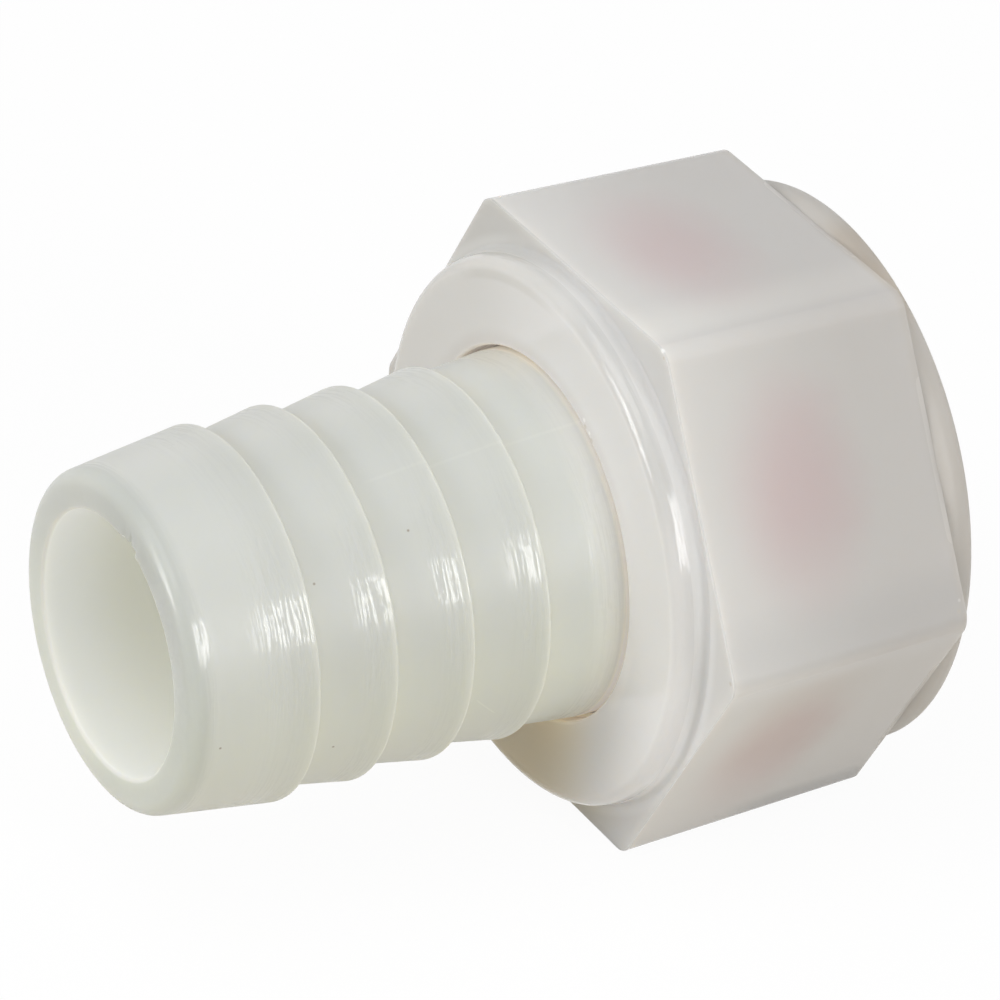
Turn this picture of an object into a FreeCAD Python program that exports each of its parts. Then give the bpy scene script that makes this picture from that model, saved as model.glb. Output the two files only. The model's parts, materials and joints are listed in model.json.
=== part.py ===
"""Swivel hose barb: a barbed hose tail that carries a hexagonal swivel nut with a sealing washer.

The fitting lies on one flat of its nut. Its axis is level and runs along X, from the barbs to the open
end of the nut, with +Z up. Lengths along the axis are first laid out from the nut's hexagon face on the
barb side, and place() then moves every piece to the origin: the middle of the fitting's underside.
"""
import FreeCAD, Part
import math
import os

os.makedirs("parts", exist_ok=True)

# Hose tail, in millimetres
bore_radius = 7.54
tip_radius = 9.65
tip_rounding = 0.88
bore_edge_chamfer = 0.25
tip_cone_length = 7.39
barb_count = 4
barb_pitch = 4.80
barb_radius = 10.66
barb_root_radius = 9.78
barb_crest_land = 0.12
shank_root_radius = 10.05
shank_cone_length = 4.79
flange_thickness = 3.40
flange_chamfer = 0.40

# Swivel nut
boss_height = 1.90
boss_base_radius = 15.97
boss_top_radius = 15.78
boss_edge_chamfer = 0.60
lip_thickness = 4.40
nut_hole_radius = 10.80
pocket_radius = 12.75
across_flats = 32.90
hexagon_length = 15.51
hexagon_draft_deg = 1.30
hexagon_corner_rounding = 1.30
hexagon_face_bevel = 0.18
collar_setback = 0.07
collar_length = 1.87
collar_edge_chamfer = 0.60
thread_major_radius = 13.50
mouth_chamfer = 0.60

# Sealing washer
washer_hole_radius = 7.95
washer_thickness = 3.20

# Clearances
swivel_clearance = 0.23
flange_play = 0.30
flange_clearance = 0.45
washer_clearance = 0.15
pocket_margin = 0.30

# Places along the axis, from the hexagon's face on the barb side
boss_face_x = -boss_height
lip_face_x = boss_face_x + lip_thickness
collar_x = hexagon_length
open_end_x = collar_x + collar_length
last_crest_x = boss_face_x - shank_cone_length
first_crest_x = last_crest_x - (barb_count - 1) * barb_pitch
tip_x = first_crest_x - tip_cone_length
flange_x = lip_face_x + flange_play
flange_face_x = flange_x + flange_thickness
washer_face_x = flange_face_x + washer_thickness
thread_start_x = washer_face_x + pocket_margin

# Radii that follow from a mating part
shank_radius = nut_hole_radius - swivel_clearance
flange_radius = pocket_radius - flange_clearance
washer_outer_radius = pocket_radius - washer_clearance
near_apothem = across_flats / 2
collar_radius = near_apothem - collar_setback
draft_slope = math.tan(math.radians(hexagon_draft_deg))
bevel_apothem = near_apothem - hexagon_face_bevel * draft_slope
far_apothem = near_apothem - hexagon_length * draft_slope


def point(x, radius):
    """A point of a half section: x along the axis, radius from it."""
    return FreeCAD.Vector(x, 0, radius)


def arc(centre, radius, start_deg, end_deg):
    """An arc of a half section, with angles turning from +X towards +Z."""
    middle_deg = (start_deg + end_deg) / 2
    ends = []
    for degrees in (start_deg, middle_deg, end_deg):
        turn = math.radians(degrees)
        ends.append(point(centre[0] + radius * math.cos(turn), centre[1] + radius * math.sin(turn)))
    return Part.Arc(ends[0], ends[1], ends[2]).toShape()


def section_wire(steps):
    """Joins (x, radius) points and arcs into one closed wire, with straight runs between them."""
    edges = []
    ends = []
    for step in steps:
        if isinstance(step, tuple):
            ends.append((point(step[0], step[1]), point(step[0], step[1]), None))
        else:
            ends.append((step.valueAt(step.FirstParameter), step.valueAt(step.LastParameter), step))
    for index, (start, finish, curve) in enumerate(ends):
        if curve is not None:
            edges.append(curve)
        following = ends[(index + 1) % len(ends)][0]
        if finish.distanceToPoint(following) > 1e-7:
            edges.append(Part.LineSegment(finish, following).toShape())
    return Part.Wire(edges)


def turned(steps):
    """Turns a closed half section about the fitting's axis."""
    face = Part.Face(section_wire(steps))
    return face.revolve(FreeCAD.Vector(0, 0, 0), FreeCAD.Vector(1, 0, 0), 360)


def hexagon_wire(x, apothem, rounding):
    """A hexagon across the axis, with a flat on top and underneath and round corners."""
    corner_distance = apothem / math.cos(math.radians(30))
    arc_distance = corner_distance - rounding / math.cos(math.radians(30))
    edges = []
    ends = []
    for corner in range(6):
        turn = 60 * corner
        centre_y = arc_distance * math.cos(math.radians(turn))
        centre_z = arc_distance * math.sin(math.radians(turn))
        points = []
        for degrees in (turn - 30, turn, turn + 30):
            y = centre_y + rounding * math.cos(math.radians(degrees))
            z = centre_z + rounding * math.sin(math.radians(degrees))
            points.append(FreeCAD.Vector(x, y, z))
        edges.append(Part.Arc(points[0], points[1], points[2]).toShape())
        ends.append((points[0], points[2]))
    joined = []
    for corner in range(6):
        joined.append(edges[corner])
        flat_end = ends[(corner + 1) % 6][0]
        joined.append(Part.LineSegment(ends[corner][1], flat_end).toShape())
    return Part.Wire(joined)


def barb_steps():
    """The outer half section of the barbs: each cone, its narrow land and its square back step."""
    steps = []
    for number in range(barb_count):
        crest_x = first_crest_x + number * barb_pitch
        last = number == barb_count - 1
        steps.append((crest_x - barb_crest_land, barb_radius))
        steps.append((crest_x, barb_radius))
        steps.append((crest_x, shank_root_radius if last else barb_root_radius))
    return steps


def make_hose_tail():
    """One moulded piece: tip, barbs, tapered shank, running shank and flange, with a through bore."""
    tip_centre = (tip_x + tip_rounding, tip_radius - tip_rounding)
    cone_slope_deg = math.degrees(math.atan2(barb_radius - tip_radius, tip_cone_length))
    return turned([
        (tip_x + bore_edge_chamfer, bore_radius),
        (tip_x, bore_radius + bore_edge_chamfer),
        arc(tip_centre, tip_rounding, 180, 90 + cone_slope_deg),
        *barb_steps(),
        (boss_face_x, shank_radius),
        (flange_x, shank_radius),
        (flange_x, flange_radius - flange_chamfer),
        (flange_x + flange_chamfer, flange_radius),
        (flange_face_x - flange_chamfer, flange_radius),
        (flange_face_x, flange_radius - flange_chamfer),
        (flange_face_x, bore_radius),
    ])


def make_hexagon():
    """The solid hexagon: a small bevel round the face on the barb side, then the moulding draft."""
    face_wire = hexagon_wire(0, near_apothem - hexagon_face_bevel, hexagon_corner_rounding)
    near_wire = hexagon_wire(hexagon_face_bevel, bevel_apothem, hexagon_corner_rounding)
    far_wire = hexagon_wire(collar_x, far_apothem, hexagon_corner_rounding)
    return Part.makeLoft([face_wire, near_wire, far_wire], True, True)


def make_swivel_nut():
    """One moulded piece: boss, inward lip, hexagon and collar, bored to the thread's major size."""
    boss = turned([
        (boss_face_x, 0),
        (boss_face_x, boss_top_radius - boss_edge_chamfer),
        (boss_face_x + boss_edge_chamfer, boss_top_radius),
        (0, boss_base_radius),
        (lip_face_x, boss_base_radius),
        (lip_face_x, 0),
    ])
    collar = turned([
        (lip_face_x, 0),
        (lip_face_x, boss_top_radius),
        (collar_x, boss_top_radius),
        (collar_x, collar_radius),
        (open_end_x - collar_edge_chamfer, collar_radius),
        (open_end_x, collar_radius - collar_edge_chamfer),
        (open_end_x, 0),
    ])
    hollow = turned([
        (boss_face_x - boss_height, 0),
        (boss_face_x - boss_height, nut_hole_radius),
        (lip_face_x, nut_hole_radius),
        (lip_face_x, pocket_radius),
        (thread_start_x, pocket_radius),
        (thread_start_x, thread_major_radius),
        (open_end_x - mouth_chamfer, thread_major_radius),
        (open_end_x, thread_major_radius + mouth_chamfer),
        (open_end_x + collar_length, thread_major_radius + mouth_chamfer),
        (open_end_x + collar_length, 0),
    ])
    return make_hexagon().fuse([boss, collar]).removeSplitter().cut(hollow)


def make_sealing_washer():
    """A flat rubber ring that sits on the flange's face, inside the nut."""
    return turned([
        (flange_face_x, washer_hole_radius),
        (flange_face_x, washer_outer_radius),
        (washer_face_x, washer_outer_radius),
        (washer_face_x, washer_hole_radius),
    ])


def place(shape):
    """Moves a piece from the hexagon's face to the middle of the fitting's underside."""
    middle_x = (tip_x + open_end_x) / 2
    moved = shape.copy()
    moved.translate(FreeCAD.Vector(-middle_x, 0, bevel_apothem))
    return moved


def main():
    """Writes each piece as its own solid."""
    pieces = {
        "hose_tail": make_hose_tail(),
        "swivel_nut": make_swivel_nut(),
        "sealing_washer": make_sealing_washer(),
    }
    for name, shape in pieces.items():
        placed = place(shape)
        if len(placed.Solids) != 1 or not placed.isValid():
            raise RuntimeError(name + " is not one valid solid")
        placed.Solids[0].exportStep("parts/" + name + ".step")
        box = placed.BoundBox
        print(name, round(placed.Volume, 1), "mm3", [round(v, 3) for v in (
            box.XMin, box.XMax, box.YMin, box.YMax, box.ZMin, box.ZMax)])


main()
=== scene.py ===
"""Looks of the swivel hose barb: a barbed hose tail in a hexagonal swivel nut, with a rubber washer.

Each piece is modelled along the fitting's own axis, with x counted from the hexagon's face on the barb side.
FittingAxis then moves it to the place that the frame gives it.
"""
import json
import logging
import math
from dataclasses import dataclass
from enum import Enum
from typing import Callable, Optional, Union

import bpy
from mathutils import Matrix, Vector


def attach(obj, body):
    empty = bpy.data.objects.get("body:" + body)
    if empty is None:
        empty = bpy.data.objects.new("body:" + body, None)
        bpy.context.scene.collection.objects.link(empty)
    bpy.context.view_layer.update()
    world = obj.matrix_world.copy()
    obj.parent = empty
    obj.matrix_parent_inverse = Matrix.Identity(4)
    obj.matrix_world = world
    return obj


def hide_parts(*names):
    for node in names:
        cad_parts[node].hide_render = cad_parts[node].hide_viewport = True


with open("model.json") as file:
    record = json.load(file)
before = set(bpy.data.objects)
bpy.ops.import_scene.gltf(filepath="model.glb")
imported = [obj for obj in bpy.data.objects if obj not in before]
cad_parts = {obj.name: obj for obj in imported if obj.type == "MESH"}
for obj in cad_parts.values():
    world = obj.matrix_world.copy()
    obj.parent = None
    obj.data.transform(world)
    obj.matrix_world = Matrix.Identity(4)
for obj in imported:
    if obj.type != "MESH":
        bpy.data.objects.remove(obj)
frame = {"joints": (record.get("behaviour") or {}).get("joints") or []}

log = logging.getLogger("swivel_hose_barb")

MM = 0.001
DEGREE = math.pi / 180
TOUCHING = 1e-6

Colour = tuple[float, float, float]
Span = tuple[float, float]
Reach = tuple[float, ...]
Piece = bpy.types.Object
Socket = bpy.types.NodeSocket
Material = bpy.types.Material

BLACK: Colour = (0.0, 0.0, 0.0)
WHITE: Colour = (1.0, 1.0, 1.0)
DARK_MARK: Colour = (0.3, 0.24, 0.17)
PALE_MARK: Colour = (0.6, 0.56, 0.5)
# A painted highlight: a small glint on a corner or by the hole.
GLINT_MARK: Colour = (0.95, 0.95, 0.93)


class Body(Enum):
    """The bodies that pieces ride on."""

    TAIL = "tail"
    NUT = "nut"


class Slot(Enum):
    """The record's material slots."""

    TAIL_NYLON = "tail_nylon"
    NUT_NYLON = "nut_nylon"
    WASHER_RUBBER = "washer_rubber"


class Part(Enum):
    """What a selection picks."""

    VERTICES = "VERT"
    EDGES = "EDGE"


class Boolean(Enum):
    """How two solids are combined."""

    UNION = "UNION"
    DIFFERENCE = "DIFFERENCE"


@dataclass(frozen=True)
class Corner:
    """A corner of a half section, in millimetres.

    x runs along the axis and r away from it. rounding is the radius that softens the corner.
    """

    x: float
    r: float
    rounding: float = 0.0

    @property
    def place(self) -> Vector:
        """Where the corner lies, in metres."""
        return Vector((self.x, 0, self.r)) * MM


@dataclass(frozen=True)
class FittingAxis:
    """Where the fitting's own axis lies in the row frame, in metres."""

    face_x: float
    axis_y: float
    axis_z: float

    @classmethod
    def from_joint(cls, joint: dict, boss_height: float) -> "FittingAxis":
        """Works the axis out from the swivel joint, which stands at the face of the nut's boss.

        Args:
            joint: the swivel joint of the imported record.
            boss_height: the boss's height over the hexagon's face, in millimetres.

        Returns:
            The axis, with its x at the hexagon's face.
        """
        x, y, z = joint["pos_m"]
        return cls(x + boss_height * MM, y, z)

    @property
    def origin(self) -> Vector:
        """The point of the axis at the hexagon's face."""
        return Vector((self.face_x, self.axis_y, self.axis_z))

    def place(self, piece: Piece) -> None:
        """Moves a piece's mesh from the fitting's axis to its place in the row frame."""
        make_active(piece)
        piece.matrix_world = Matrix.Translation(self.origin)
        bpy.ops.object.transform_apply()


def around(angle: float, radius: float, x: float) -> Colour:
    """A place on the fitting, in millimetres, from its angle in degrees, its radius and its x."""
    return (x, radius * math.cos(angle * DEGREE), radius * math.sin(angle * DEGREE))


def deselect_all() -> None:
    """Leaves edit mode and deselects every object."""
    if bpy.context.object and bpy.context.object.mode != "OBJECT":
        bpy.ops.object.mode_set(mode="OBJECT")
    bpy.ops.object.select_all(action="DESELECT")


def make_active(piece: Piece) -> None:
    """Selects one object alone and makes it the active one."""
    deselect_all()
    piece.select_set(True)
    bpy.context.view_layer.objects.active = piece


def select_whole_mesh() -> None:
    """Enters edit mode on the active object and selects its whole mesh."""
    bpy.ops.object.mode_set(mode="EDIT")
    bpy.ops.mesh.select_all(action="SELECT")


def pick(piece: Piece, part: Part, test: Callable[[list[Vector]], bool]) -> None:
    """Selects the vertices or edges that pass a test, in edit mode.

    Args:
        piece: the mesh that is being edited.
        part: whether vertices or edges are picked.
        test: is given the places of an element's vertices, and says whether it is picked.
    """
    bpy.ops.mesh.select_mode(type=part.value)
    bpy.ops.mesh.select_all(action="DESELECT")
    bpy.ops.object.mode_set(mode="OBJECT")
    vertices = piece.data.vertices
    if part is Part.VERTICES:
        for vertex in vertices:
            vertex.select = test([vertex.co])
    else:
        for edge in piece.data.edges:
            edge.select = test([vertices[index].co for index in edge.vertices])
    bpy.ops.object.mode_set(mode="EDIT")


def draw_section(name: str, corners: list[Corner], segments: int) -> Piece:
    """Draws a closed half section corner by corner, and rounds its corners.

    Args:
        name: the new object's name.
        corners: the corners in order.
        segments: how many straight steps make a rounding.

    Returns:
        The section, a closed ring of edges, still in edit mode.
    """
    deselect_all()
    start = corners[0].place
    bpy.ops.mesh.primitive_plane_add(size=MM, location=start)
    piece = bpy.context.object
    piece.name = name
    bpy.ops.object.transform_apply()
    select_whole_mesh()
    bpy.ops.mesh.select_mode(type=Part.VERTICES.value)
    bpy.ops.mesh.merge(type="CENTER")
    place = start
    for corner in corners[1:]:
        bpy.ops.mesh.extrude_region_move(TRANSFORM_OT_translate={"value": corner.place - place})
        place = corner.place
    ends = (start, place)
    pick(piece, Part.VERTICES, lambda at: any((at[0] - end).length < TOUCHING for end in ends))
    bpy.ops.mesh.edge_face_add()
    for index, corner in enumerate(corners):
        if corner.rounding:
            round_corner(piece, corners[index - 1], corner, corners[(index + 1) % len(corners)], segments)
    return piece


def round_corner(
    piece: Piece, before: Corner, corner: Corner, after: Corner, segments: int
) -> None:
    """Bevels one corner of a section to its rounding.

    Args:
        piece: the section, in edit mode.
        before: the corner before it.
        corner: the corner that is rounded.
        after: the corner after it.
        segments: how many straight steps make the rounding.
    """
    arriving = Vector((corner.x - before.x, corner.r - before.r))
    leaving = Vector((after.x - corner.x, after.r - corner.r))
    cut = corner.rounding * math.tan(arriving.angle(leaving) / 2)
    pick(piece, Part.VERTICES, lambda at: (at[0] - corner.place).length < TOUCHING)
    bevel(cut, segments, affect="VERTICES", clamp_overlap=False)


def bevel(cut: float, segments: int, **settings: object) -> None:
    """Bevels what is selected round, back to a cut in millimetres from its edge or corner."""
    bpy.ops.mesh.bevel(offset=cut * MM, offset_type="OFFSET", segments=segments, profile=0.5, **settings)


def turn(steps: int) -> None:
    """Spins a drawn section once round the axis and closes its seam."""
    select_whole_mesh()
    bpy.ops.mesh.spin(steps=steps, angle=2 * math.pi, center=(0, 0, 0), axis=(1, 0, 0))
    close_up()


def close_up(threshold: float = 0.0005) -> None:
    """Merges the active mesh's vertices within a threshold in millimetres and turns its faces outwards."""
    select_whole_mesh()
    bpy.ops.mesh.remove_doubles(threshold=threshold * MM)
    bpy.ops.mesh.normals_make_consistent(inside=False)
    bpy.ops.object.mode_set(mode="OBJECT")


def modify(piece: Piece, kind: str, **settings: object) -> None:
    """Adds a modifier of that kind with those settings, and applies it."""
    make_active(piece)
    bpy.ops.object.modifier_add(type=kind)
    modifier = piece.modifiers[-1]
    for name, value in settings.items():
        setattr(modifier, name, value)
    bpy.ops.object.modifier_apply(modifier=modifier.name)


def combine(piece: Piece, other: Piece, how: Boolean) -> None:
    """Joins another solid to a piece or cuts it out of the piece, and removes the other."""
    modify(piece, "BOOLEAN", operation=how.value, solver="EXACT", object=other)
    bpy.data.objects.remove(other)


def smooth(piece: Piece, sharpest: float = 35.0) -> None:
    """Shades the roundings smooth and keeps edges over the sharpest angle, in degrees."""
    make_active(piece)
    bpy.ops.object.shade_smooth_by_angle(angle=sharpest * DEGREE)
    modify(piece, "WEIGHTED_NORMAL", keep_sharp=True, mode="FACE_AREA")


Number = Union[float, "Value"]


def operator(operation: str, reflected: bool = False) -> Callable[["Value", Number], "Value"]:
    """Makes an operator of Value, which adds one Math node.

    Args:
        operation: the Math node's operation.
        reflected: whether the Value stands on the operator's right.

    Returns:
        The operator's method.
    """

    def apply(value: "Value", other: Number) -> "Value":
        """One Math node on a Value and another number."""
        pair = (other, value) if reflected else (value, other)
        return value.graph.maths(operation, *pair)

    return apply


@dataclass(frozen=True)
class Value:
    """A number socket of a node graph that takes part in Python sums."""

    graph: "Graph"
    socket: Socket

    __add__ = operator("ADD")
    __radd__ = operator("ADD", reflected=True)
    __sub__ = operator("SUBTRACT")
    __rsub__ = operator("SUBTRACT", reflected=True)
    __mul__ = operator("MULTIPLY")
    __rmul__ = operator("MULTIPLY", reflected=True)
    __truediv__ = operator("DIVIDE")
    __rtruediv__ = operator("DIVIDE", reflected=True)

    def __abs__(self) -> "Value":
        """abs(self)"""
        return self.graph.maths("ABSOLUTE", self)

    def lifted(self, least: float) -> "Value":
        """A mask that runs from least to 1 instead of from 0 to 1."""
        return self * (1.0 - least) + least

    def swing(self, width: float) -> "Value":
        """A noise from 0 to 1 turned into a swing about 0 of that width."""
        return (self - 0.5) * width

    def reach(self, places: Reach) -> "Value":
        """A mask with soft ends along this value.

        Args:
            places: where it is empty and full, and where there are four, where it is full and empty again.

        Returns:
            The mask, from 0 to 1.
        """
        settings = {"interpolation_type": "SMOOTHSTEP"}
        node = self.graph.node("MapRange", settings, at_0=self, at_1=places[0], at_2=places[1])
        mask = Value(self.graph, node.outputs[0])
        if len(places) == 4:
            mask = mask * self.reach((places[3], places[2]))
        return mask


@dataclass(frozen=True)
class Place:
    """Where the shaded point lies on the fitting.

    vector is counted from the fitting's axis in metres, and the numbers are millimetres and degrees. The angle
    runs from +Y towards +Z, from 0 to 360.
    """

    graph: "Graph"
    vector: Socket
    x: Value
    y: Value
    z: Value
    radius: Value
    angle: Value

    def round_from(self, angle: float) -> Value:
        """The length round the fitting from an angle in degrees, in millimetres."""
        return (self.angle - angle) * DEGREE * self.radius

    def inside(self, radius: float, margin: Span = (0.25, 0.05)) -> Value:
        """1 inside a hole of that radius, with its soft edge in a margin outside it."""
        return self.radius.reach((radius + margin[0], radius + margin[1]))


@dataclass(frozen=True)
class TailPlace(Place):
    """Where the shaded point lies on the tail.

    behind is counted from the crest that was passed last, before up to the next crest, and from_tip from the
    tip's face. on_tip is 1 on the tip's long cone, and outer is 0 in the bore.
    """

    behind: Value
    before: Value
    from_tip: Value
    on_tip: Value
    outer: Value


@dataclass(frozen=True)
class Shade:
    """A colour that multiplies a finish over a region of the fitting.

    A reach of two places is empty at the first and full at the second. A reach of four fills over the first
    two and empties over the last two. A measure with no reach doesn't limit the region. least is what is left
    of the shade outside its reach along y or z.
    """

    colour: Colour
    x: Reach = ()
    y: Reach = ()
    z: Reach = ()
    radius: Reach = ()
    angle: Reach = ()
    behind: Reach = ()
    before: Reach = ()
    from_tip: Reach = ()
    least: float = 0.0


@dataclass(frozen=True)
class Speck:
    """A speck, a painted glint or another small mark: its place on the fitting and its size, in millimetres.
    """

    x: float
    angle: float
    radius: float
    size: float = 0.07
    colour: Colour = DARK_MARK
    core: float = 0.5
    rim: float = 1.5
    cover: float = 0.7


class Graph:
    """The node graph of a material or a world."""

    def __init__(self, owner: bpy.types.ID, end: str = "OutputMaterial") -> None:
        """Empties the owner's graph and adds its output.

        Args:
            owner: the new material or world.
            end: the type of its output node.
        """
        self.owner = owner
        owner.use_nodes = True
        self.tree = owner.node_tree
        self.tree.nodes.clear()
        self.output = self.node(end)

    def node(self, kind: str, settings: Optional[dict] = None, **sockets: object) -> bpy.types.Node:
        """Adds a node, makes its settings and then fills its sockets.

        Args:
            kind: the node's type, without the ShaderNode that it starts with.
            settings: attributes such as an operation, set before the sockets.
            sockets: values or links by socket name, with _ for a space, or by place as at_0.

        Returns:
            The new node.
        """
        node = self.tree.nodes.new("ShaderNode" + kind)
        for key, value in (settings or {}).items():
            setattr(node, key, value)
        for key, value in sockets.items():
            place = int(key[3:]) if key.startswith("at_") else key.replace("_", " ")
            self.fill(node.inputs[place], value)
        return node

    def fill(self, socket: Socket, value: object) -> None:
        """Links a socket, or sets it where the value is plain."""
        if isinstance(value, Value):
            value = value.socket
        if isinstance(value, Socket):
            self.tree.links.new(value, socket)
        elif isinstance(value, tuple) and socket.type == "RGBA":
            socket.default_value = (*value, 1.0)
        else:
            socket.default_value = value

    def maths(self, operation: str, first: Number, second: Number = 0.0) -> Value:
        """One Math node on numbers."""
        node = self.node("Math", {"operation": operation}, at_0=first, at_1=second)
        return Value(self, node.outputs[0])

    def locate(self, axis: FittingAxis) -> Place:
        """Finds the shaded point's place from its object coordinates.

        Args:
            axis: where the fitting's axis lies.

        Returns:
            The place, counted from that axis.
        """
        coordinates = self.node("TexCoord")
        shift = tuple(-axis.origin)
        mapping = self.node("Mapping", Vector=coordinates.outputs["Object"], Location=shift)
        vector = mapping.outputs["Vector"]
        split = self.node("SeparateXYZ", Vector=vector)
        x, y, z = (Value(self, output) * (1 / MM) for output in split.outputs)
        radius = self.maths("SQRT", y * y + z * z)
        angle = self.maths("ARCTAN2", z, y) * (1 / DEGREE)
        return Place(self, vector, x, y, z, radius, self.maths("FLOORED_MODULO", angle, 360.0))

    def noise(self, vector: Socket, scale: float, detail: float, stretch: Colour = WHITE) -> Value:
        """Cloudy noise from 0 to 1.

        Args:
            vector: the shaded point's place in metres.
            scale: how many features it has to a metre.
            detail: how many finer layers it has.
            stretch: how much denser it is along x, y and z.

        Returns:
            The noise.
        """
        if stretch != WHITE:
            node = self.node("VectorMath", {"operation": "MULTIPLY"}, at_0=vector, at_1=stretch)
            vector = node.outputs["Vector"]
        node = self.node("TexNoise", Vector=vector, Scale=scale, Detail=detail)
        return Value(self, node.outputs["Fac"])

    def mark(self, colour: object, at: Place, specks: tuple[Speck, ...]) -> Socket:
        """Lays specks on a colour."""
        for speck in specks:
            spot = tuple(part * MM for part in around(speck.angle, speck.radius, speck.x))
            settings = {"operation": "DISTANCE"}
            node = self.node("VectorMath", settings, at_0=at.vector, at_1=spot)
            edge = (speck.size * speck.rim * MM, speck.size * speck.core * MM)
            covered = Value(self, node.outputs["Value"]).reach(edge)
            colour = self.blend(colour, speck.colour, covered * speck.cover)
        return colour

    def blend(self, base: object, other: object, factor: Number, how: str = "MIX") -> Socket:
        """A Mix node on two colours: a colour between them, unless how names another blend type."""
        settings = {"data_type": "RGBA", "blend_type": how}
        node = self.node("Mix", settings, at_0=factor, at_6=base, at_7=other)
        return node.outputs[2]

    def tint(self, base: object, colour: Colour, factor: Number) -> Socket:
        """A colour multiplied by another one, as far as the factor says."""
        return self.blend(base, colour, factor, "MULTIPLY")

    def lay(self, base: object, at: Place, shades: tuple[Shade, ...]) -> Socket:
        """Lays shades on a colour.

        Args:
            base: the colour.
            at: where the shaded point lies.
            shades: the shades, each with at least one reach.

        Returns:
            The shaded colour.
        """
        for shade in shades:
            factor: Number = 1.0
            for name, places in vars(shade).items():
                if places and name in vars(at):
                    mask = getattr(at, name).reach(places)
                    if shade.least and name in ("y", "z"):
                        mask = mask.lifted(shade.least)
                    factor = mask * factor
            base = self.tint(base, shade.colour, factor)
        return base

    def bump(self, height: Value, distance: float, share: Number = 1.0) -> Socket:
        """A Bump node on a height from 0 to 1, which stands for a distance in millimetres.

        The share from 0 to 1 fades it out. It stays off the height, which a Bump node works out three times.
        """
        node = self.node("Bump", None, Height=height, Distance=distance * MM, Strength=share)
        return node.outputs["Normal"]

    def seen(self) -> Value:
        """1 where a surface is looked at, also in a reflection or through glass, and 0 where it lights."""
        path = self.node("LightPath")
        rays = Value(self, path.outputs["Is Camera Ray"])
        for kind in ("Is Glossy Ray", "Is Transmission Ray"):
            rays = rays + Value(self, path.outputs[kind])
        return self.maths("MINIMUM", rays, 1.0)

    def end_in(self, shader: bpy.types.Node) -> None:
        """Links a shader to the output."""
        self.tree.links.new(shader.outputs[0], self.output.inputs["Surface"])

    def finish(self, **sockets: object) -> Material:
        """Ends the graph in a Principled shader with those sockets, and returns the material."""
        self.end_in(self.node("BsdfPrincipled", {"subsurface_method": "RANDOM_WALK"}, **sockets))
        self.owner.cycles.emission_sampling = "NONE"
        return self.owner


@dataclass(frozen=True)
class Nylon:
    """What both nylons share. They are milky, and a faint glow stands for daylight that comes through.

    Reaches and lengths are in millimetres, and angles in degrees. least and elsewhere say what is left of a
    mask outside its reach.
    """

    cloud_detail: float = 3.0
    ring_detail: float = 1.0
    scatter_scale: float = 1.0
    index_of_refraction: float = 1.53

    def finish(self, graph: Graph, **sockets: object) -> Material:
        """Ends a graph in milky nylon with those sockets, and returns the material."""
        return graph.finish(
            IOR=self.index_of_refraction,
            Subsurface_Weight=1.0,
            Subsurface_Scale=self.scatter_scale * MM,
            Emission_Strength=1.0,
            **sockets,
        )


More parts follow.
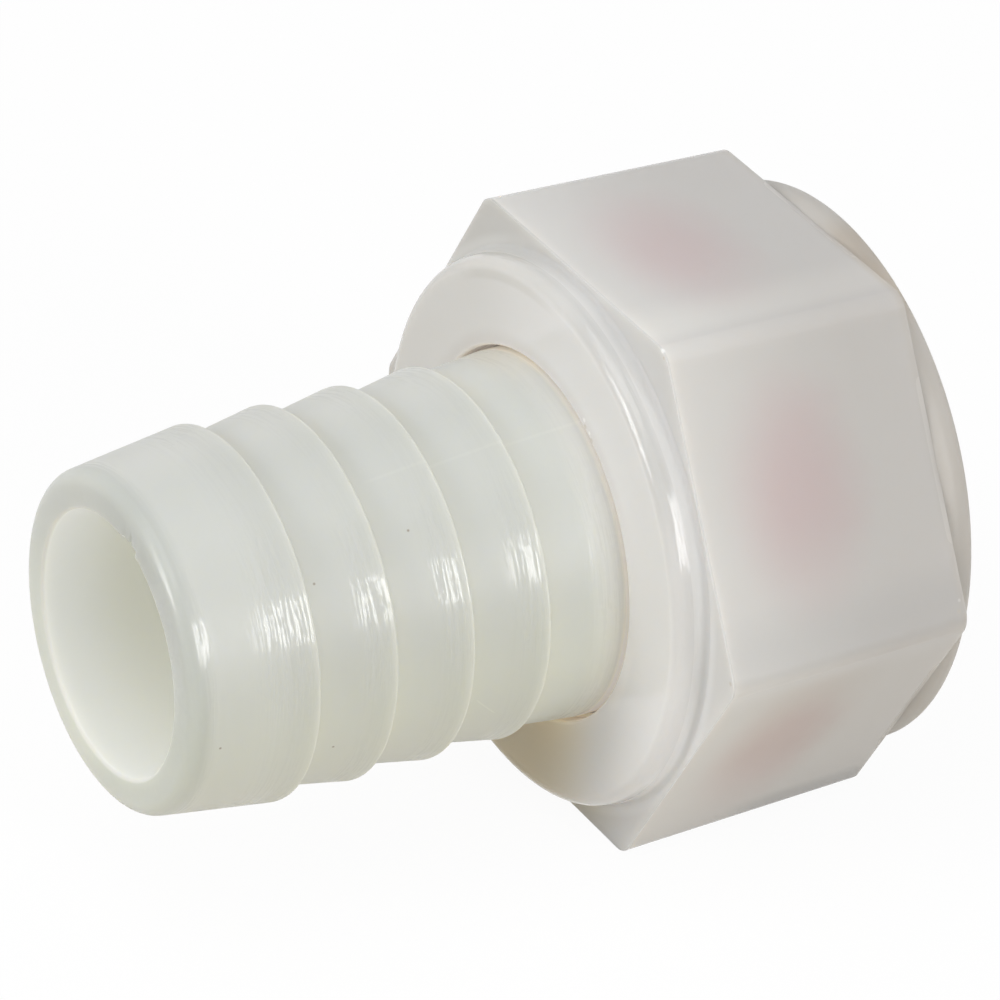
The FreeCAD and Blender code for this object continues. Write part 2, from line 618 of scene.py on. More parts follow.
@dataclass(frozen=True)
class TailNylon(Nylon):
    """The tail's unpigmented nylon, with fine ring marks left by the mould."""

    base: Colour = (0.645, 0.66, 0.625)
    # Painted light: the lower side is paler, and random clouds break the edge of it.
    paler_lower_side: Colour = (0.75, 0.77, 0.7)
    paler_lower_side_z: Reach = (6.0, -3.0)
    paler_lower_side_swing: float = 0.25
    cloud_scale: float = 150.0
    # Painted light: the bore is paler, for light that comes through its wall.
    inside: Colour = (0.76, 0.765, 0.72)
    shades: tuple[Shade, ...] = (
        # Painted light on the far side and beside the boss, where it fills the boss's shade, and a warm
        # painted shade beside the boss.
        Shade((1.12, 1.11, 1.11), y=(-2.0, 3.0)),
        Shade((1.28, 1.25, 1.265), x=(-4.2, -2.2), y=(9.0, -9.0)),
        Shade((1.000, 0.965, 0.91), x=(-4.8, -3.0), y=(-2.0, 4.0)),
        # Painted light on the root behind each barb, painted shade on the run up to each crest, and a painted
        # highlight along the crest.
        Shade((1.11, 1.085, 1.03), behind=(1.8, 0.1), y=(-2.0, 1.0), least=0.5),
        Shade((0.94, 0.94, 0.935), before=(3.6, 0.4)),
        Shade((1.08, 1.07, 1.03), before=(0.24, 0.06)),
        # Painted shade on the tip's face, darkest on top.
        Shade((0.8, 0.815, 0.81), from_tip=(1.6, 0.4), z=(-10.0, 0.0), least=0.6),
    )
    mould_line: Colour = (1.03, 1.03, 1.025)
    mould_line_angle: float = 114.0
    mould_line_reach: Reach = (0.14, 0.04)
    mould_line_x: Reach = (-15.5, -14.5)
    scratch: Colour = (1.08, 1.08, 1.07)
    scratch_x: float = -9.8
    scratch_angle: float = 202.0
    scratch_width: Reach = (0.07, 0.02)
    scratch_length: Reach = (1.1, 0.8)
    bore_glow_deep: Colour = (0.13, 0.13, 0.11)
    bore_glow_tip: Colour = (0.23, 0.24, 0.255)
    bore_glow_start: Reach = (0.05, 0.25)
    bore_glow_reach: Reach = (6.0, 0.2)
    bore_glow_z: Reach = (-8.0, 2.0)
    bore_glow_least: float = 0.6
    gap_glow: Colour = (0.075, 0.062, 0.055)
    gap_start: Span = (-0.15, 0.05)
    gap_end: Span = (-2.5, -0.5)
    gloss_length: float = 2.6
    tip_gloss_length: float = 4.2
    gloss_reach: Reach = (1.0, 0.5)
    end_gloss_x: Reach = (-3.7, -3.2)
    end_gloss_share: float = 0.6
    rounding_gloss_x: Reach = (-26.6, -27.3)
    rim_gloss_x: Reach = (-27.4, -27.7)
    rim_gloss_least: float = 0.5
    gloss_angle: Reach = (118.0, 138.0, 172.0, 188.0)
    gloss_elsewhere: float = 0.3
    roughness: float = 0.47
    coat_roughness: float = 0.13
    ring_scale: float = 540.0
    ring_stretch: Colour = (13.0, 0.65, 0.65)
    ring_height: float = 0.024
    ring_height_elsewhere: float = 0.08
    chip_scale: float = 2600.0
    chip_swing: float = 0.22
    glossy_ring: Reach = (0.49, 0.57)
    glossy_rounding: Reach = (0.46, 0.55)
    scatter_radius: Colour = (1.0, 0.95, 0.78)
    crest_seam: float = 0.02
    specks: tuple[Speck, ...] = (
        Speck(-20.25, 141.7, 9.93),
        Speck(-26.74, 187.8, 9.89),
        Speck(-19.47, 200.7, 10.08),
        Speck(-14.04, 133.3, 10.19),
        Speck(-28.48, 61.0, 7.56),
    )

    def locate(self, at: Place, tail: "HoseTail") -> TailPlace:
        """Finds where the shaded point lies among the barbs.

        Args:
            at: where it lies on the fitting.
            tail: the tail, for the places of its barbs and bore.

        Returns:
            The place on the tail.
        """
        first_x = tail.crest_x(0)
        on_tip = at.x.reach((first_x + self.crest_seam, first_x - self.crest_seam))
        behind = at.graph.maths("FRACT", (at.x - tail.last_crest_x) / tail.barb_pitch) * tail.barb_pitch
        before = (tail.barb_pitch - behind) * (1.0 - on_tip) + (first_x - at.x) * on_tip
        return TailPlace(
            **vars(at),
            behind=behind + on_tip * tail.barb_pitch,
            before=before,
            from_tip=at.x - tail.tip_x,
            on_tip=on_tip,
            outer=1.0 - at.inside(tail.bore_radius),
        )

    def colour(self, at: TailPlace) -> Socket:
        """Works the tail's colour out.

        Args:
            at: where the shaded point lies.

        Returns:
            The colour.
        """
        graph = at.graph
        clouds = graph.noise(at.vector, self.cloud_scale, self.cloud_detail)
        paler_lower_share = at.z.reach(self.paler_lower_side_z) + clouds.swing(self.paler_lower_side_swing)
        colour = graph.lay(graph.blend(self.base, self.paler_lower_side, paler_lower_share), at, self.shades)
        line = abs(at.round_from(self.mould_line_angle)).reach(self.mould_line_reach)
        colour = graph.tint(colour, self.mould_line, line * at.x.reach(self.mould_line_x))
        past_x, past_angle = at.x - self.scratch_x, at.round_from(self.scratch_angle)
        across = abs(past_x - past_angle) / math.sqrt(2)
        along = abs(past_x + past_angle) / math.sqrt(2)
        scratched = across.reach(self.scratch_width) * along.reach(self.scratch_length)
        colour = graph.tint(colour, self.scratch, scratched)
        return graph.mark(graph.blend(self.inside, colour, at.outer), at, self.specks)

    def glow(self, at: TailPlace, tail: "HoseTail") -> Socket:
        """Works out the glow in the bore and in the gap round the shank.

        Args:
            at: where the shaded point lies.
            tail: the tail, for the ends of the gap.

        Returns:
            The glow's colour.
        """
        graph = at.graph
        into_gap = tuple(tail.boss_face_x + step for step in self.gap_start)
        out_of_gap = tuple(tail.flange_x + step for step in self.gap_end)
        gap = at.x.reach(into_gap + out_of_gap) * at.outer
        by_tip = at.from_tip.reach(self.bore_glow_reach)
        bore_glow = graph.blend(self.bore_glow_deep, self.bore_glow_tip, by_tip)
        lit = (1.0 - at.outer) * at.from_tip.reach(self.bore_glow_start)
        lit = lit * at.z.reach(self.bore_glow_z).lifted(self.bore_glow_least)
        return graph.blend(graph.blend(BLACK, bore_glow, lit), self.gap_glow, gap)

    def make(self, axis: FittingAxis, tail: "HoseTail") -> Material:
        """Builds the tail's material, with gloss in streaks beside each crest.

        Args:
            axis: where the fitting's axis lies.
            tail: the tail, for the places of its barbs and bore.

        Returns:
            The material.
        """
        graph = Graph(bpy.data.materials.new(Slot.TAIL_NYLON.value))
        at = self.locate(graph.locate(axis), tail)
        length = self.gloss_length + at.on_tip * (self.tip_gloss_length - self.gloss_length)
        gloss = (at.before / length).reach(self.gloss_reach)
        gloss = graph.maths("MAXIMUM", gloss, at.x.reach(self.end_gloss_x) * self.end_gloss_share)
        rings = graph.noise(at.vector, self.ring_scale, self.ring_detail, self.ring_stretch)
        chips = graph.noise(at.vector, self.chip_scale, self.ring_detail)
        marks = rings + chips.swing(self.chip_swing)
        rounded = at.x.reach(self.rounding_gloss_x)
        on_rim = at.x.reach(self.rim_gloss_x) * chips.lifted(self.rim_gloss_least)
        on_rounding = graph.maths("MAXIMUM", rounded * marks.reach(self.glossy_rounding), on_rim)
        coat = graph.maths("MAXIMUM", gloss * marks.reach(self.glossy_ring), on_rounding) * at.outer
        bright_side = at.angle.reach(self.gloss_angle)
        marked = (gloss * bright_side).lifted(self.ring_height_elsewhere) * (1.0 - rounded) * at.outer
        return self.finish(
            graph,
            Base_Color=self.colour(at),
            Roughness=self.roughness,
            Normal=graph.bump(rings, self.ring_height, marked),
            Subsurface_Radius=self.scatter_radius,
            Coat_Weight=coat * bright_side.lifted(self.gloss_elsewhere),
            Coat_Roughness=self.coat_roughness,
            Emission_Color=self.glow(at, tail),
        )


@dataclass(frozen=True)
class NutNylon(Nylon):
    """The nut's whiter nylon, through which the red washer shows at the middle of each flat."""

    # Painted shade: the nut darkens from its near end to its far end, where its wall is thinner and less light
    # comes through.
    near: Colour = (0.765, 0.755, 0.73)
    far: Colour = (0.59, 0.572, 0.55)
    near_to_far_x: Reach = (-4.0, 12.0)
    cloud_scale: float = 130.0
    cloud_wobble: float = 2.4
    blush: Colour = (0.97, 0.85, 0.868)
    # Painted shade on the blush of the flats that face down.
    low_blush_shade: Colour = (0.93, 0.89, 0.85)
    blush_x: float = 6.4
    blush_half_length: float = 5.4
    blush_half_width: float = 8.2
    blush_reach: Reach = (1.05, 0.15)
    blush_swing: float = 0.3
    hexagon_r: Reach = (14.8, 15.4)
    low_flats: Reach = (179.0, 190.0, 357.0, 360.0)
    collar_x: Reach = (14.9, 15.8)
    shades: tuple[Shade, ...] = (
        # Painted shade: darker on the flats that face down, browner on part of the first, and darker on the
        # edge between the first two, which hides its reflection.
        Shade((0.935, 0.92, 0.89), angle=low_flats),
        Shade((0.96, 0.93, 0.9), x=(1.0, 5.0, 8.0, 12.0), angle=(181.0, 187.0, 208.0, 222.0)),
        Shade((0.76, 0.765, 0.765), x=(5.0, 10.0), radius=(16.5, 17.0), angle=(232.0, 236.5, 241.0, 247.0)),
        # Painted light on the top flat's edge, and painted shade on the edge of the flat that the camera sees
        # best.
        Shade((1.08, 1.08, 1.07), angle=(104.0, 113.0, 114.5, 118.5)),
        Shade((0.93, 0.935, 0.94), angle=(166.0, 176.0, 179.0, 181.0)),
        # The collar, and its brownest part.
        Shade((0.93, 0.915, 0.885), x=collar_x, angle=(5.0, 45.0, 176.0, 202.0)),
        Shade((0.89, 0.84, 0.78), x=collar_x, angle=(90.0, 100.0, 116.0, 126.0)),
    )
    # Painted shade that dims the highlight on the bevel round the hexagon's face.
    face_edge_shade: tuple[Shade, ...] = (Shade((0.8, 0.8, 0.8), x=(0.0, 0.012, 0.05, 0.12)),)
    front_x: Reach = (0.12, 0.02)
    boss: Colour = (0.79, 0.785, 0.775)
    boss_rim_r: Reach = (15.1, 15.5)
    boss_hole_r: Reach = (12.0, 11.1)
    boss_shades: tuple[Shade, ...] = (
        # Painted shade on the far side, and painted light that brightens the boss low down on the near side.
        Shade((0.87, 0.865, 0.845), y=(-3.0, 8.0)),
        Shade((1.12, 1.13, 1.16), angle=(165.0, 222.0, 235.0, 262.0)),
        # Painted light that fills the shade at the boss's foot, everywhere but at its top, and painted shade
        # on the rounding there.
        Shade((1.12, 1.125, 1.13), x=(-1.0, -0.4), radius=(17.0, 16.4), angle=(80.0, 55.0)),
        Shade((1.12, 1.125, 1.13), x=(-1.0, -0.4), radius=(17.0, 16.4), angle=(150.0, 175.0)),
        Shade((0.89, 0.895, 0.89), x=(-0.7, -1.2), radius=boss_rim_r, angle=(70.0, 90.0, 140.0, 160.0)),
        # Round the hole: painted shade above the shank and painted light beside it.
        Shade((0.92, 0.91, 0.905), radius=boss_hole_r, angle=(5.0, 45.0, 125.0, 160.0)),
        Shade((1.13, 1.12, 1.11), radius=boss_hole_r, angle=(180.0, 195.0, 205.0, 215.0)),
        # A painted reflection along the rim: a light line and a dark line.
        Shade((1.12, 1.115, 1.11), radius=(15.2, 15.45, 15.8, 16.0), angle=(48.0, 60.0, 92.0, 108.0)),
        Shade((0.92, 0.915, 0.9), radius=(14.5, 14.8, 15.1, 15.3), angle=(52.0, 64.0, 84.0, 98.0)),
    )
    # Painted shade on the boss's side and on the hexagon's face, with less of it low down on the near side.
    boss_side_shade: Colour = (0.87, 0.87, 0.865)
    boss_side_x: Reach = (-0.1, -0.4)
    boss_side_angle: Reach = (172.0, 190.0, 270.0, 320.0)
    boss_side_low_angle: Reach = (222.0, 240.0, 270.0, 320.0)
    boss_side_share: float = 0.5
    # Painted shade: a warm brown shade low on the boss, under the tail, which turns with the nut.
    boss_warm_shade: Colour = (0.99, 0.865, 0.58)
    boss_warm_shade_angle: Reach = (222.0, 262.0, 285.0, 310.0)
    boss_warm_shade_r: float = 13.2
    boss_warm_shade_lean: float = 3.5
    gap_glow: Colour = (0.088, 0.078, 0.072)
    gap_end: float = 1.0
    roughness: float = 0.14
    roughness_swing: float = 0.06
    side_roughness: float = 0.32
    side_rough_x: Reach = (-0.95, -0.65)
    collar_roughness: float = 0.35
    collar_rough_x: Reach = (15.0, 15.5)
    collar_rough_r: Reach = (16.9, 16.6)
    ring_scale: float = 420.0
    ring_stretch: Colour = (10.0, 1.5, 1.5)
    ring_height: float = 0.04
    ring_height_elsewhere: float = 0.03
    ringed_r: Reach = (14.6, 15.0, 16.0, 16.4)
    scatter_radius: Colour = (1.0, 0.93, 0.85)
    specks: tuple[Speck, ...] = (
        Speck(14.76, 168.6, 17.19),
        Speck(15.04, 177.5, 18.3, 0.16, PALE_MARK),
        Speck(15.2, 175.8, 18.05, 0.14, GLINT_MARK),
        Speck(0.03, 119.3, 18.74, 0.14, GLINT_MARK),
        Speck(0.0, 120.4, 18.55, 0.1, PALE_MARK),
        Speck(0.0, 179.0, 18.4, 0.12, PALE_MARK),
        Speck(-1.9, 116.0, 11.3, 0.12, GLINT_MARK),
        Speck(-1.9, 117.5, 11.05, 0.14, PALE_MARK),
        Speck(-1.9, 120.0, 11.15, 0.1, GLINT_MARK),
        Speck(-1.9, 122.0, 11.0, 0.14, PALE_MARK),
    )

    def hexagon_colour(self, at: Place, nut: "SwivelNut", clouds: Value) -> Socket:
        """Works out the colour of the hexagon and the collar.

        Args:
            at: where the shaded point lies.
            nut: the nut, for the places of its flats.
            clouds: a noise that breaks the blush's edge.

        Returns:
            The colour.
        """
        graph = at.graph
        wobble = clouds.swing(self.cloud_wobble)
        colour = graph.blend(self.near, self.far, (at.x + wobble).reach(self.near_to_far_x))
        from_corner = graph.maths("PINGPONG", at.angle, nut.half_flat_angle)
        from_middle = (nut.half_flat_angle - from_corner) * DEGREE
        across = graph.maths("TANGENT", from_middle) * nut.near_apothem
        across = (across + wobble) / self.blush_half_width
        along = (at.x + wobble - self.blush_x) / self.blush_half_length
        outwards = graph.maths("SQRT", across * across + along * along) + clouds.swing(self.blush_swing)
        blushing = outwards.reach(self.blush_reach) * at.radius.reach(self.hexagon_r)
        colour = graph.tint(colour, self.blush, blushing)
        colour = graph.tint(colour, self.low_blush_shade, at.angle.reach(self.low_flats) * blushing)
        return graph.lay(colour, at, self.shades)

    def boss_colour(self, at: Place) -> Socket:
        """Works out the colour of the boss and the hexagon's face.

        Args:
            at: where the shaded point lies.

        Returns:
            The colour.
        """
        graph = at.graph
        paler = at.angle.reach(self.boss_side_angle) * at.x.reach(self.boss_side_x)
        paler = (paler + at.angle.reach(self.boss_side_low_angle)) * self.boss_side_share
        side = at.radius.reach(self.boss_rim_r) * (1.0 - paler)
        colour = graph.tint(graph.lay(self.boss, at, self.boss_shades), self.boss_side_shade, side)
        leaning = at.angle + (self.boss_warm_shade_r - at.radius) * self.boss_warm_shade_lean
        return graph.tint(colour, self.boss_warm_shade, leaning.reach(self.boss_warm_shade_angle))

    def make(self, axis: FittingAxis, nut: "SwivelNut") -> Material:
        """Builds the nut's material.

        Args:
            axis: where the fitting's axis lies.
            nut: the nut, for the places of its flats and its hole.

        Returns:
            The material.
        """
        graph = Graph(bpy.data.materials.new(Slot.NUT_NYLON.value))
        at = graph.locate(axis)
        clouds = graph.noise(at.vector, self.cloud_scale, self.cloud_detail)
        front = at.x.reach(self.front_x)
        colour = graph.blend(self.hexagon_colour(at, nut, clouds), self.boss_colour(at), front)
        gap = at.inside(nut.hole_radius) * at.x.reach((nut.lip_face_x, nut.boss_face_x + self.gap_end))
        roughness = self.roughness + clouds.swing(self.roughness_swing)
        roughness = roughness + front * at.x.reach(self.side_rough_x) * self.side_roughness
        rough_collar = at.x.reach(self.collar_rough_x) * at.radius.reach(self.collar_rough_r)
        rings = graph.noise(at.vector, self.ring_scale, self.ring_detail, self.ring_stretch)
        ringed = (front * at.radius.reach(self.ringed_r)).lifted(self.ring_height_elsewhere)
        return self.finish(
            graph,
            Base_Color=graph.mark(graph.lay(colour, at, self.face_edge_shade), at, self.specks),
            Roughness=roughness + rough_collar * self.collar_roughness,
            Normal=graph.bump(rings, self.ring_height, ringed),
            Subsurface_Radius=self.scatter_radius,
            Emission_Color=graph.blend(BLACK, self.gap_glow, gap),
        )


@dataclass(frozen=True)
class WasherRubber:
    """Red moulded rubber, a little dusty."""

    base: Colour = (0.42, 0.06, 0.045)
    dusty: Colour = (0.5, 0.16, 0.13)
    dust_scale: float = 260.0
    dust_detail: float = 4.0
    dust_reach: Reach = (0.45, 0.75)
    dust_cover: float = 0.5
    roughness: float = 0.58
    roughness_swing: float = 0.2
    grain_scale: float = 2600.0
    grain_detail: float = 2.0
    grain_height: float = 0.012

    def make(self, axis: FittingAxis) -> Material:
        """Builds the washer's material.

        Args:
            axis: where the fitting's axis lies.

        Returns:
            The material.
        """
        graph = Graph(bpy.data.materials.new(Slot.WASHER_RUBBER.value))
        at = graph.locate(axis)
        clouds = graph.noise(at.vector, self.dust_scale, self.dust_detail)
        grain = graph.noise(at.vector, self.grain_scale, self.grain_detail)
        dust = clouds.reach(self.dust_reach) * self.dust_cover
        return graph.finish(
            Base_Color=graph.blend(self.base, self.dusty, dust),
            Roughness=self.roughness + clouds.swing(self.roughness_swing),
            Normal=graph.bump(grain, self.grain_height),
        )


@dataclass(frozen=True)
class Nick:
    """A chip in the bore's edge at the tip: its angle, and its reach and depth in millimetres."""

    angle: float
    reach: float
    depth: float


@dataclass
class Turned:
    """A piece that is turned from its half section."""

    name: str
    turn_steps: int = 256
    rounding_segments: int = 6

    def corners(self) -> list[Corner]:
        """The corners of the half section, in order."""
        raise NotImplementedError

    def shape(self, piece: Piece) -> None:
        """Shapes the turned piece further, where it isn't round."""

    def build(self, axis: FittingAxis) -> Piece:
        """Turns and shapes the piece, and puts it in its place.

        Args:
            axis: where the fitting's axis lies.

        Returns:
            The finished piece.
        """
        piece = draw_section(self.name, self.corners(), self.rounding_segments)
        turn(self.turn_steps)
        self.shape(piece)
        smooth(piece)
        axis.place(piece)
        return piece


@dataclass
class HoseTail(Turned):
    """The moulded hose tail, in millimetres: tip, four barbs, shank and the flange inside the nut."""

    name: str = "tail_moulding"
    bore_radius: float = 7.54
    bore_edge_rounding: float = 0.25
    tip_x: float = -28.48
    tip_radius: float = 9.65
    tip_rounding: float = 0.88
    barb_count: int = 4
    barb_pitch: float = 4.8
    barb_radius: float = 10.66
    barb_root_radius: float = 9.78
    crest_rounding: float = 0.11
    root_rounding: float = 0.18
    last_crest_x: float = -6.69
    shank_root_radius: float = 10.05
    shank_radius: float = 10.57
    boss_face_x: float = -1.9
    flange_x: float = 2.8
    flange_thickness: float = 3.4
    flange_radius: float = 12.3
    flange_rounding: float = 0.4
    nicks: tuple[Nick, ...] = (Nick(101.5, 0.45, 0.1), Nick(106.5, 0.5, 0.13))
    nick_ring_x: float = 1.2

    def crest_x(self, number: int) -> float:
        """Where a barb's crest stands, counted from 0 at the tip."""
        return self.last_crest_x - (self.barb_count - 1 - number) * self.barb_pitch

    def corners(self) -> list[Corner]:
        """The corners of the tail's half section, round from the bore's edge at the tip."""
        flange_face_x = self.flange_x + self.flange_thickness
        steps = [
            Corner(self.tip_x, self.bore_radius, self.bore_edge_rounding),
            Corner(self.tip_x, self.tip_radius, self.tip_rounding),
        ]
        for number in range(self.barb_count):
            last = number == self.barb_count - 1
            root_radius = self.shank_root_radius if last else self.barb_root_radius
            steps.append(Corner(self.crest_x(number), self.barb_radius, self.crest_rounding))
            steps.append(Corner(self.crest_x(number), root_radius, self.root_rounding))
        return steps + [
            Corner(self.boss_face_x, self.shank_radius),
            Corner(self.flange_x, self.shank_radius, self.root_rounding),
            Corner(self.flange_x, self.flange_radius, self.flange_rounding),
            Corner(flange_face_x, self.flange_radius, self.flange_rounding),
            Corner(flange_face_x, self.bore_radius, self.bore_edge_rounding),
            Corner(self.tip_x + self.nick_ring_x, self.bore_radius),
        ]

    def shape(self, piece: Piece) -> None:
        """Pushes in the nicks that the bore's edge has at the tip."""
        make_active(piece)
        bpy.ops.object.mode_set(mode="EDIT")
        for nick in self.nicks:
            middle = Vector(around(nick.angle, self.bore_radius, self.tip_x)) * MM
            outwards = Vector(around(nick.angle, nick.depth, nick.depth)) * MM
            pick(piece, Part.VERTICES, lambda at: (at[0] - middle).length < nick.reach * MM)
            bpy.ops.transform.translate(value=outwards)
        bpy.ops.object.mode_set(mode="OBJECT")

    def dress(self, piece: Piece, axis: FittingAxis) -> None:
        """Gives the tail its finish, hides the imported part it stands in for and sets it on the tail's body.
        """
        piece.data.materials.append(TailNylon().make(axis, self))
        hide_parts("hose_tail")
        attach(piece, Body.TAIL.value)


@dataclass
class SwivelNut(Turned):
    """The moulded swivel nut, in millimetres: boss, lip, hexagon, female thread and collar.

    sunk lengths and the shoulder are hidden in another part, so that the two join cleanly.
    """

    name: str = "nut_moulding"
    boss_face_x: float = -1.9
    boss_top_radius: float = 15.78
    boss_base_radius: float = 15.97
    boss_rounding: float = 0.8
    boss_fillet: float = 0.38
    boss_sunk: float = 0.01
    shoulder_x: float = 0.6
    hole_radius: float = 10.8
    hole_rounding: float = 0.2
    lip_face_x: float = 2.5
    pocket_radius: float = 12.75
    flat_count: int = 6
    hexagon_length: float = 15.51
    near_apothem: float = 16.45
    far_apothem: float = 16.098
    corner_rounding: float = 1.3
    corner_segments: int = 10
    face_bevel: float = 0.045
    face_bevel_segments: int = 3
    face_slack: float = 0.01
    wall_radius: float = 15.55
    wall_overlap: float = 0.8
    collar_foot_x: float = 14.7
    collar_x: float = 15.9
    collar_radius: float = 16.38
    collar_rounding: float = 0.82
    collar_foot_rounding: float = 1.2
    open_end_x: float = 17.38
    mouth_rounding: float = 0.15
    mouth_chamfer: float = 0.6
    thread_start_x: float = 9.7
    thread_major_radius: float = 13.5
    thread_minor_radius: float = 12.45
    thread_pitch: float = 2.209
    thread_turns: float = 2.5
    thread_run_out: float = 6.0
    thread_root_width: float = 1.4
    thread_crest_width: float = 0.46
    thread_crest_rounding: float = 0.15
    thread_crest_segments: int = 3
    thread_sunk: float = 0.15
    thread_steps: int = 96
    rounding_segments: int = 8

    @property
    def half_flat_angle(self) -> float:
        """The angle from the middle of a flat to its corner, in degrees."""
        return 180.0 / self.flat_count

    def corners(self) -> list[Corner]:
        """The corners of the nut's turned wall, round from the hole in the boss."""
        mouth_x = self.open_end_x - self.mouth_chamfer
        mouth_radius = self.thread_major_radius + self.mouth_chamfer
        return [
            Corner(self.boss_face_x, self.hole_radius, self.hole_rounding),
            Corner(self.boss_face_x, self.boss_top_radius, self.boss_rounding),
            Corner(self.boss_sunk, self.boss_base_radius, self.boss_fillet),
            Corner(self.boss_sunk, self.boss_base_radius + self.boss_fillet),
            Corner(self.shoulder_x, self.wall_radius),
            Corner(self.collar_foot_x, self.wall_radius),
            Corner(self.collar_x, self.collar_radius, self.collar_foot_rounding),
            Corner(self.open_end_x, self.collar_radius, self.collar_rounding),
            Corner(self.open_end_x, mouth_radius, self.mouth_rounding),
            Corner(mouth_x, self.thread_major_radius),
            Corner(self.thread_start_x, self.thread_major_radius),
            Corner(self.thread_start_x, self.pocket_radius),
            Corner(self.lip_face_x, self.pocket_radius, self.hole_rounding),
            Corner(self.lip_face_x, self.hole_radius, self.hole_rounding),
        ]

    def add_block(self, vertices: int, radius: float, length: float) -> Piece:
        """Adds a prism along the axis, centred on the hexagon's middle, and returns it."""
        deselect_all()
        bpy.ops.mesh.primitive_cylinder_add(
            vertices=vertices,
            radius=radius * MM,
            depth=length * MM,
            location=(self.hexagon_length * MM / 2, 0, 0),
            rotation=(0, math.pi / 2, 0),
        )
        return bpy.context.object

    def make_hexagon(self) -> Piece:
        """The hexagon alone: a tapered block with round corners and a clear middle."""
        half_turn = self.half_flat_angle * DEGREE
        block = self.add_block(
            self.flat_count, self.near_apothem / math.cos(half_turn), self.hexagon_length
        )
        block.name = "nut_hexagon"
        bpy.ops.object.transform_apply()
        bpy.ops.object.mode_set(mode="EDIT")
        middle = self.hexagon_length * MM / 2
        pick(block, Part.VERTICES, lambda at: at[0].x > middle)
        draft = self.far_apothem / self.near_apothem
        bpy.ops.transform.resize(value=(1, draft, draft), center_override=(0, 0, 0))
        pick(block, Part.EDGES, lambda at: abs(at[0].x - at[1].x) > middle)
        bevel(self.corner_rounding * math.tan(half_turn), self.corner_segments)
        slack = self.face_slack * MM
        pick(block, Part.EDGES, lambda at: max(abs(at[0].x), abs(at[1].x)) < slack)
        bevel(self.face_bevel, self.face_bevel_segments)
        close_up()
        inner_radius = self.wall_radius - self.wall_overlap
        middle_cut = self.add_block(self.turn_steps, inner_radius, self.hexagon_length * 2)
        combine(block, middle_cut, Boolean.DIFFERENCE)
        return block

    def make_thread(self) -> Piece:
        """The ridge of the female thread, with ends that run out into the wall."""
        root = self.thread_major_radius + self.thread_sunk
        half_root = self.thread_root_width / 2
        start_x = self.thread_start_x + half_root + self.thread_sunk
        half_crest = self.thread_crest_width / 2
        crest = (self.thread_minor_radius, self.thread_crest_rounding)
        ridge = draw_section(
            "nut_thread",
            [
                Corner(start_x - half_root, root),
                Corner(start_x + half_root, root),
                Corner(start_x + half_crest, *crest),
                Corner(start_x - half_crest, *crest),
            ],
            self.thread_crest_segments,
        )
        steps = round(self.thread_steps * self.thread_turns)
        modify(
            ridge,
            "SCREW",
            axis="X",
            angle=2 * math.pi * self.thread_turns,
            screw_offset=self.thread_pitch * self.thread_turns * MM,
            steps=steps,
            render_steps=steps,
        )
        select_whole_mesh()
        bpy.ops.mesh.fill_holes(sides=0)
        self.run_out(ridge, start_x, root / self.thread_minor_radius)
        close_up()
        return ridge

    def run_out(self, ridge: Piece, start_x: float, widen: float) -> None:
        """Widens the ridge's two ends until they sink into the wall.

        Args:
            ridge: the ridge, in edit mode.
            start_x: where its first section stands.
            widen: how much wider its ends become.
        """
        first_x = (start_x + self.thread_pitch / 2) * MM
        last_x = first_x + self.thread_pitch * (self.thread_turns - 1) * MM
        pick(
            ridge,
            Part.VERTICES,
            lambda at: abs(at[0].y) < TOUCHING and not first_x < at[0].x < last_x,
        )
        bpy.ops.transform.resize(
            value=(1, widen, widen),
            center_override=(0, 0, 0),
            use_proportional_edit=True,
            use_proportional_connected=True,
            proportional_edit_falloff="SMOOTH",
            proportional_size=self.thread_run_out * MM,
        )

    def shape(self, piece: Piece) -> None:
        """Joins the hexagon and the thread to the nut's wall."""
        combine(piece, self.make_hexagon(), Boolean.UNION)
        combine(piece, self.make_thread(), Boolean.UNION)
        close_up()

    def dress(self, piece: Piece, axis: FittingAxis) -> None:
        """Gives the nut its finish, hides the imported part it stands in for and sets it on the nut's body."""
        piece.data.materials.append(NutNylon().make(axis, self))
        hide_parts("swivel_nut")
        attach(piece, Body.NUT.value)


@dataclass
class SealingWasher(Turned):
    """The flat rubber washer against the flange, in millimetres."""

    name: str = "washer_ring"
    seat_x: float = 6.2
    thickness: float = 3.2
    hole_radius: float = 7.95
    outer_radius: float = 12.6
    rounding: float = 0.3
    turn_steps: int = 192
    rounding_segments: int = 4

    def corners(self) -> list[Corner]:
        """The corners of the washer's half section."""
        far_x = self.seat_x + self.thickness
        return [
            Corner(self.seat_x, self.hole_radius, self.rounding),
            Corner(self.seat_x, self.outer_radius, self.rounding),
            Corner(far_x, self.outer_radius, self.rounding),
            Corner(far_x, self.hole_radius, self.rounding),
        ]

    def dress(self, piece: Piece, axis: FittingAxis) -> None:
        """Gives the washer its finish, hides the imported part it stands in for and sets it on the nut's body.
        """
        piece.data.materials.append(WasherRubber().make(axis))
        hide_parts("sealing_washer")
        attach(piece, Body.NUT.value)


@dataclass(frozen=True)
class Softbox:
    """A rectangular light that faces the fitting.

    It stands round_angle degrees from the front (-Y) round to the left (-X), raised by up_angle degrees. Its
    width and height are in metres, and its power in watts.
    """

    name: str
    round_angle: float
    up_angle: float
    width: float
    height: float
    power: float


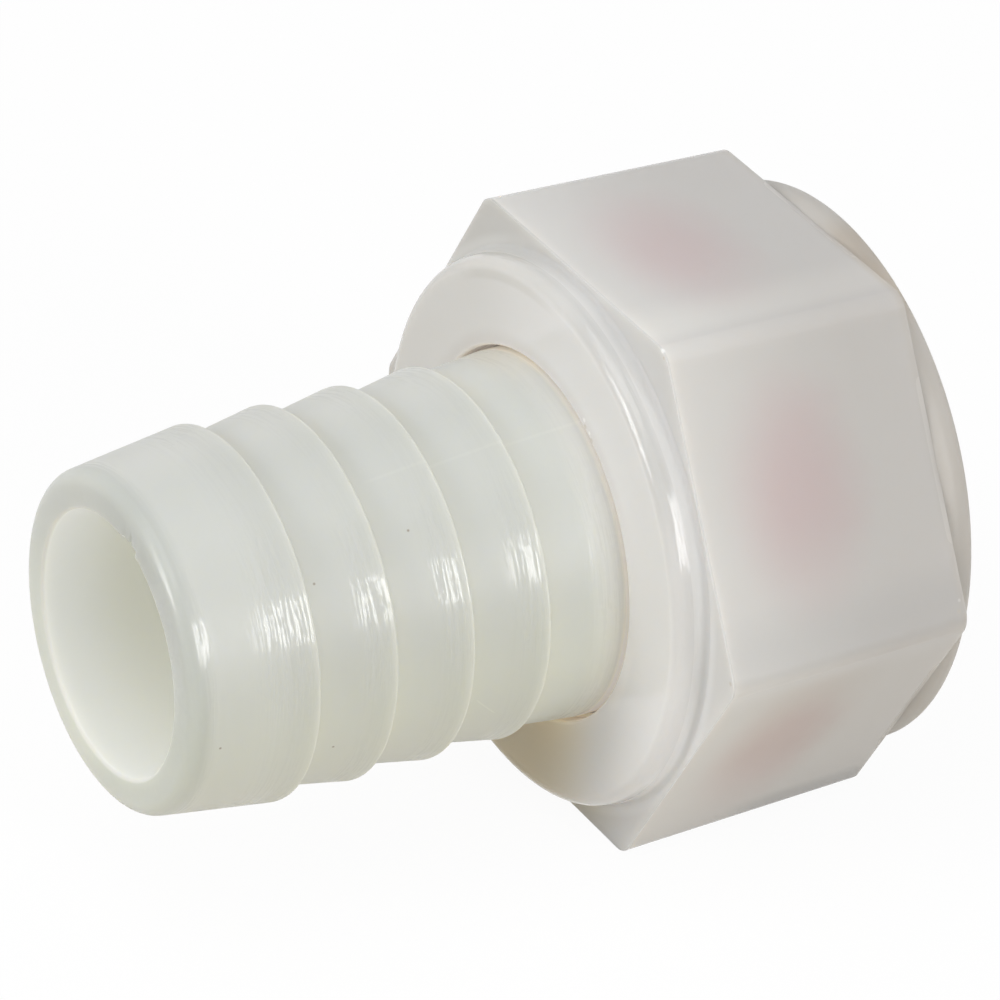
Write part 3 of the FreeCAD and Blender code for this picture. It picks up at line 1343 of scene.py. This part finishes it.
@dataclass
class Studio:
    """The pale floor, the soft lights and the camera, in metres."""

    floor_size: float = 6.0
    floor_cuts: int = 3
    floor_colour: Colour = (0.6, 0.56, 0.49)
    floor_whiteness: float = 0.95
    world_strength: float = 0.38
    softbox_distance: float = 0.6
    softboxes: tuple[Softbox, ...] = (
        Softbox("front_softbox", -10.0, 22.0, 0.2, 0.28, 1.3),
        Softbox("left_softbox", 95.0, 21.0, 0.21, 0.3, 1.3),
        Softbox("top_softbox", 80.0, 72.0, 0.5, 0.5, 1.2),
    )
    lens_mm: float = 256.963
    sensor_mm: float = 36.0
    camera_place: Colour = (-0.1868117, -0.2843072, 0.2106543)
    camera_forward: Colour = (0.46105, 0.71626, -0.52383)
    camera_up: Colour = (0.22405, 0.47722, 0.84974)
    nearest_seen: float = 0.01

    def build(self, axis: FittingAxis) -> None:
        """Lays the floor, sets the lights and aims the camera.

        Args:
            axis: where the fitting's axis lies, from which the lights' and the camera's places are counted.
        """
        self.lay_floor()
        self.set_world()
        for softbox in self.softboxes:
            self.add_softbox(softbox, axis.origin)
        self.aim_camera(axis.origin)

    def lay_floor(self) -> None:
        """A plain pale floor that shows white to the camera and keeps the shadow."""
        deselect_all()
        bpy.ops.mesh.primitive_plane_add(size=self.floor_size, location=(0, 0, 0))
        floor = bpy.context.object
        floor.name = "studio_floor"
        select_whole_mesh()
        bpy.ops.mesh.subdivide(number_cuts=self.floor_cuts)
        bpy.ops.object.mode_set(mode="OBJECT")
        graph = Graph(bpy.data.materials.new("floor_paper"))
        seen = graph.seen()
        paper = graph.blend(self.floor_colour, WHITE, seen)
        matt = graph.node("BsdfDiffuse", Color=paper)
        glow = graph.node("Emission", Color=WHITE, Strength=1.0)
        share = seen * self.floor_whiteness
        graph.end_in(
            graph.node("MixShader", at_0=share, at_1=matt.outputs[0], at_2=glow.outputs[0])
        )
        floor.data.materials.append(graph.owner)

    def set_world(self) -> None:
        """A plain white world, dimmer as a light than it looks."""
        world = bpy.data.worlds.new("studio_world")
        bpy.context.scene.world = world
        graph = Graph(world, "OutputWorld")
        strength = graph.seen().lifted(self.world_strength)
        graph.end_in(graph.node("Background", Color=WHITE, Strength=strength))

    def add_softbox(self, softbox: Softbox, middle: Vector) -> None:
        """Adds a light, turned towards the middle of the fitting.

        Args:
            softbox: its name, place, size and power.
            middle: the point it faces.
        """
        deselect_all()
        turned_by, raised_by = softbox.round_angle * DEGREE, softbox.up_angle * DEGREE
        level = math.cos(raised_by)
        towards = Vector((-level * math.sin(turned_by), -level * math.cos(turned_by), math.sin(raised_by)))
        bpy.ops.object.light_add(type="AREA", location=middle + towards * self.softbox_distance)
        light = bpy.context.object
        light.name = softbox.name
        light.rotation_euler = towards.to_track_quat("Z", "Y").to_euler()
        light.data.shape = "RECTANGLE"
        light.data.size = softbox.width
        light.data.size_y = softbox.height
        light.data.energy = softbox.power

    def aim_camera(self, middle: Vector) -> None:
        """Adds the camera at the photograph's viewing angle, with its place counted from the middle."""
        deselect_all()
        bpy.ops.object.camera_add()
        camera = bpy.context.object
        camera.name = "photo_camera"
        forward = Vector(self.camera_forward).normalized()
        side = forward.cross(Vector(self.camera_up)).normalized()
        turned = Matrix((side, side.cross(forward), -forward)).transposed().to_4x4()
        camera.matrix_world = Matrix.Translation(middle + Vector(self.camera_place)) @ turned
        camera.data.lens = self.lens_mm
        camera.data.sensor_width = self.sensor_mm
        camera.data.clip_start = self.nearest_seen
        bpy.context.scene.camera = camera


def main() -> None:
    """Builds and dresses the fitting, logs each piece's faces and sets the studio up."""
    logging.basicConfig(level=logging.INFO, format="%(name)s: %(message)s")
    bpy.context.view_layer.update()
    nut = SwivelNut()
    axis = FittingAxis.from_joint(frame["joints"][0], -nut.boss_face_x)
    for assembly in (HoseTail(), nut, SealingWasher()):
        piece = assembly.build(axis)
        assembly.dress(piece, axis)
        log.info("%s: %d faces", piece.name, len(piece.data.polygons))
    Studio().build(axis)
    bpy.context.scene.view_settings.view_transform = "Standard"


if __name__ == "__main__":
    main()
